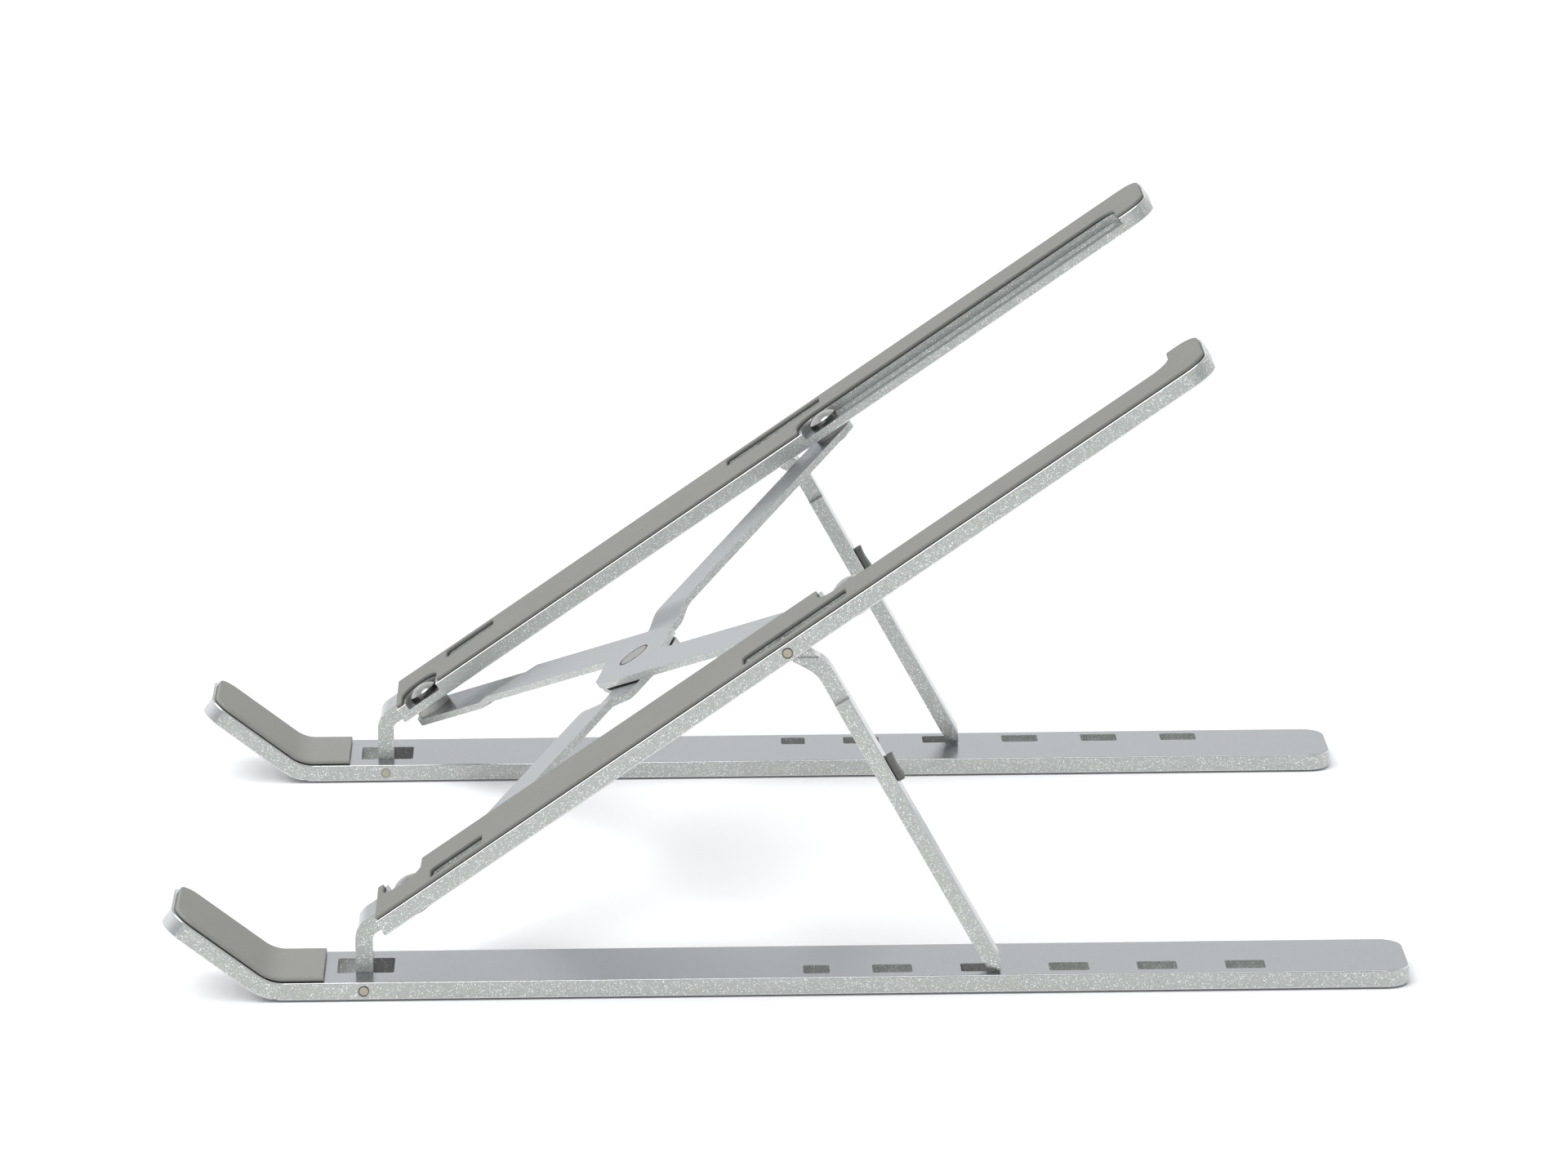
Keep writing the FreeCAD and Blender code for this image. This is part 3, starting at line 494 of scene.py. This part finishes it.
# --- Hook pads: the linings of the raised front hooks ---
# A moulded silicone strip, bent with the hook and glued inside it, with a rounded tip.
def grid_mesh(name, points):
    """Mesh from a grid of points: rows along the piece, columns round it, the end rows closed."""
    rows, columns, _ = points.shape
    index = np.arange(rows * columns).reshape(rows, columns)
    beside = np.roll(index, -1, 1)
    quads = np.stack([index[:-1], index[1:], beside[1:], beside[:-1]], -1).reshape(-1, 4)
    ends = [index[0].tolist(), index[-1][::-1].tolist()]
    mesh = bpy.data.meshes.new(name)
    mesh.from_pydata(points.reshape(-1, 3).tolist(), [], quads.tolist() + ends)
    return mesh


HOOK_ANGLE = math.radians(37.4)
HOOK_PAD_THICKNESS = 1.1 * MM
HOOK_BEND_RADIUS = 10.2 * MM
BAR_THICKNESS = 3.6 * MM
FOOT_STAND_OFF = 0.4 * MM
HOOK_BEND = 20.8 * MM
HOOK_PAD_CORNER = 4.3 * MM
HOOK_PAD_EDGE = 0.3 * MM
PAD_STATIONS = 90
PAD_ROUND = 36


def hook_pad(side):
    """Strip of rounded section carried up the hook.

    The path is a straight, an arc about the bend centre and a straight. Across the strip the
    section is a flat ellipse-cornered band; near the tip its half width follows a quarter circle.
    """
    low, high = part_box(side + "_hook_pad")
    front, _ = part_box(side + "_base_bar")
    lift = (BAR_THICKNESS + HOOK_PAD_THICKNESS) / 2
    centre_radius = HOOK_BEND_RADIUS - lift
    bend_x = front.x + HOOK_BEND
    base_z = FOOT_STAND_OFF + BAR_THICKNESS / 2
    centre = np.array([bend_x + HOOK_BEND_RADIUS * math.tan(HOOK_ANGLE / 2),
                       base_z + HOOK_BEND_RADIUS])
    flat = high.x - centre[0]
    arc = centre_radius * HOOK_ANGLE
    rise_top = high.z - HOOK_PAD_THICKNESS / 2 * math.cos(HOOK_ANGLE)
    arc_end_z = centre[1] - centre_radius * math.cos(HOOK_ANGLE)
    slope = (rise_top - arc_end_z) / math.sin(HOOK_ANGLE)
    total = flat + arc + slope
    half_width = (high.y - low.y) / 2
    corner = HOOK_PAD_CORNER
    ease = (1 - np.cos(np.linspace(0, math.pi, PAD_STATIONS))) / 2
    d = total * ease
    turn = np.clip((d - flat) / centre_radius, 0, HOOK_ANGLE)
    beyond = np.maximum(0, d - flat - arc)
    x = centre[0] - centre_radius * np.sin(turn) - beyond * np.cos(turn)
    x = x + np.maximum(0, flat - d)
    z = centre[1] - centre_radius * np.cos(turn) + beyond * np.sin(turn)
    left = np.maximum(0, corner - (total - d))
    narrow = corner - np.sqrt(np.maximum(0, corner ** 2 - left ** 2))
    reach = half_width - narrow
    edge = HOOK_PAD_EDGE
    thin = np.minimum(1, np.minimum(d, total - d) / edge)
    thick = HOOK_PAD_THICKNESS / 2 * (0.45 + 0.55 * np.sqrt(1 - (1 - thin) ** 2))
    around = np.linspace(0, 2 * math.pi, PAD_ROUND, endpoint=False)
    across = np.sign(np.cos(around)) * np.abs(np.cos(around)) ** 0.12
    up = np.sign(np.sin(around)) * np.abs(np.sin(around)) ** 0.45
    off_y = reach[:, None] * across[None]
    off_n = thick[:, None] * up[None]
    nx, nz = np.sin(turn)[:, None], np.cos(turn)[:, None]
    points = np.stack([x[:, None] + off_n * nx, (low.y + high.y) / 2 + off_y,
                       z[:, None] + off_n * nz], -1)
    return grid_mesh(side + "_hook_pad_lining", points)


hook_silicone = silicone("hook_silicone", (0.245, 0.245, 0.226, 1), (0.295, 0.295, 0.273, 1))
for side, _ in SIDES:
    settle(bpy.data.objects.new(side + "_hook_pad_lining", hook_pad(side)), hook_silicone,
           "base_" + side, side + "_hook_pad")


# --- Strut bumpers: the buffers on the backs of the prop struts ---
# A small dark rubber block with a hollowed face, pushed into a hole in the strut by its peg.
BUMPER_HALF = (2.6 * MM, 2.3 * MM, 0.8 * MM)
BUMPER_HOLLOW = 0.3 * MM


def bumper(side):
    """Rounded block: a sphere's angles raised to a small power square it off, and its outer
    face sinks by the hollow times one minus the square of the place along it."""
    low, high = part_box(side + "_strut_bumper")
    steps = 40
    tilt = np.linspace(-math.pi / 2, math.pi / 2, steps)[:, None]
    around = np.linspace(0, 2 * math.pi, 2 * steps, endpoint=False)[None]

    def squared(value, power=0.16):
        return np.sign(value) * np.abs(value) ** power

    x = squared(np.cos(tilt)) * squared(np.cos(around))
    y = squared(np.cos(tilt)) * squared(np.sin(around))
    z = squared(np.sin(tilt), 0.22) * np.ones_like(around)
    block = np.stack([x * BUMPER_HALF[0], y * BUMPER_HALF[1], z * BUMPER_HALF[2]], -1)
    block[..., 2] -= BUMPER_HOLLOW * (1 - x ** 2) * np.maximum(0, z)
    out = np.array(strut_out)
    along = np.array([out[2], 0, -out[0]])
    reach = abs(along) * BUMPER_HALF[0] + out * BUMPER_HALF[2]
    seat = np.array([high.x - reach[0], (low.y + high.y) / 2, high.z - reach[2]])
    points = (seat + block[..., :1] * along + block[..., 1:2] * np.array([0, 1, 0])
              + block[..., 2:] * out)
    return grid_mesh(side + "_strut_buffer", points)


dark_rubber = silicone("dark_rubber", (0.13, 0.135, 0.125, 1), (0.17, 0.175, 0.163, 1))
for side, _ in SIDES:
    settle(bpy.data.objects.new(side + "_strut_buffer", bumper(side)), dark_rubber,
           "strut_" + side, side + "_strut_bumper")


# --- Studio: a white table, a shaded sky and one soft sun ---
# The table is a plain white sheet. The sky is darker on the near side, which gives the metal its
# contrast, and a wide sun from above and the front end gives faint shadows.
FLOOR_SIZE = 6.0
white = Finish("white_table", roughness=0.9, specular_ior_level=0.1, emission_strength=0.05,
               emission_color=(1, 1, 1, 1))
white.feed("Base Color", white.mix_colour(white.noise(0.4), (0.955, 0.955, 0.955, 1),
                                          (0.965, 0.965, 0.965, 1)))
plane = bpy.data.meshes.new("table")
half = FLOOR_SIZE / 2
plane.from_pydata([(-half, -half, 0), (half, -half, 0), (half, half, 0), (-half, half, 0)], [],
                  [(0, 1, 2, 3)])
plane.materials.append(white.material)
table = bpy.data.objects.new("table", plane)
bpy.context.scene.collection.objects.link(table)

sky = bpy.data.worlds.new("studio")
bpy.context.scene.world = sky
sky.use_nodes = True
SKY_NEAR = (0.40, 0.41, 0.42, 1)
SKY_FAR = (0.98, 0.99, 1.0, 1)
SKY_TOP = (0.62, 0.63, 0.64, 1)
SUN_STRENGTH = 2.0
SUN_SPREAD = math.radians(50)
SUN_TURN = (math.radians(12), math.radians(-24), 0)
air = sky.node_tree


def air_node(kind, settings, sockets):
    """Add a node to the sky: settings first, then the values or links of its sockets."""
    made = air.nodes.new(kind)
    for setting, value in settings.items():
        setattr(made, setting, value)
    for socket, value in sockets.items():
        if isinstance(value, bpy.types.NodeSocket):
            air.links.new(value, made.inputs[socket])
        else:
            made.inputs[socket].default_value = value
    return made


toward = air_node("ShaderNodeTexCoord", {}, {}).outputs["Generated"]
parts = air_node("ShaderNodeSeparateXYZ", {}, {0: toward}).outputs
depth = air_node("ShaderNodeMapRange", {"interpolation_type": "SMOOTHSTEP"},
                 {"Value": parts["Y"], "From Min": -0.9, "From Max": 0.5}).outputs[0]
height = air_node("ShaderNodeMapRange", {"interpolation_type": "SMOOTHSTEP"},
                  {"Value": parts["Z"], "From Min": 0.3, "From Max": 1.0}).outputs[0]
around = air_node("ShaderNodeMix", {"data_type": "RGBA"}, {0: depth, 6: SKY_NEAR, 7: SKY_FAR})
whole = air_node("ShaderNodeMix", {"data_type": "RGBA"},
                 {0: height, 6: around.outputs[2], 7: SKY_TOP})
air.links.new(whole.outputs[2], air.nodes["Background"].inputs["Color"])
sun_data = bpy.data.lights.new("soft_sun", "SUN")
sun_data.energy = SUN_STRENGTH
sun_data.angle = SUN_SPREAD
sun = bpy.data.objects.new("soft_sun", sun_data)
sun.rotation_euler = SUN_TURN
bpy.context.scene.collection.objects.link(sun)

CAMERA_PLACE = (-0.034837, -1.523706, 0.434489)
CAMERA_HEADING = math.radians(1.381)
CAMERA_DROP = math.radians(13.766)
CAMERA_ROLL = math.radians(-0.299)
CAMERA_LENS = 171.14
forward = Vector((math.sin(CAMERA_HEADING) * math.cos(CAMERA_DROP),
                  math.cos(CAMERA_HEADING) * math.cos(CAMERA_DROP), -math.sin(CAMERA_DROP)))
level = Vector((math.cos(CAMERA_HEADING), -math.sin(CAMERA_HEADING), 0))
upright = level.cross(forward)
rolled_right = math.cos(CAMERA_ROLL) * level + math.sin(CAMERA_ROLL) * upright
rolled_up = -math.sin(CAMERA_ROLL) * level + math.cos(CAMERA_ROLL) * upright
camera_data = bpy.data.cameras.new("camera")
camera_data.lens = CAMERA_LENS
camera_data.sensor_width = 36.0
camera_data.clip_end = 20.0
camera = bpy.data.objects.new("camera", camera_data)
camera.matrix_world = Matrix.Translation(CAMERA_PLACE) @ Matrix(
    (rolled_right, rolled_up, -forward)).transposed().to_4x4()
bpy.context.scene.collection.objects.link(camera)
bpy.context.scene.camera = camera
bpy.context.scene.view_settings.view_transform = "Standard"
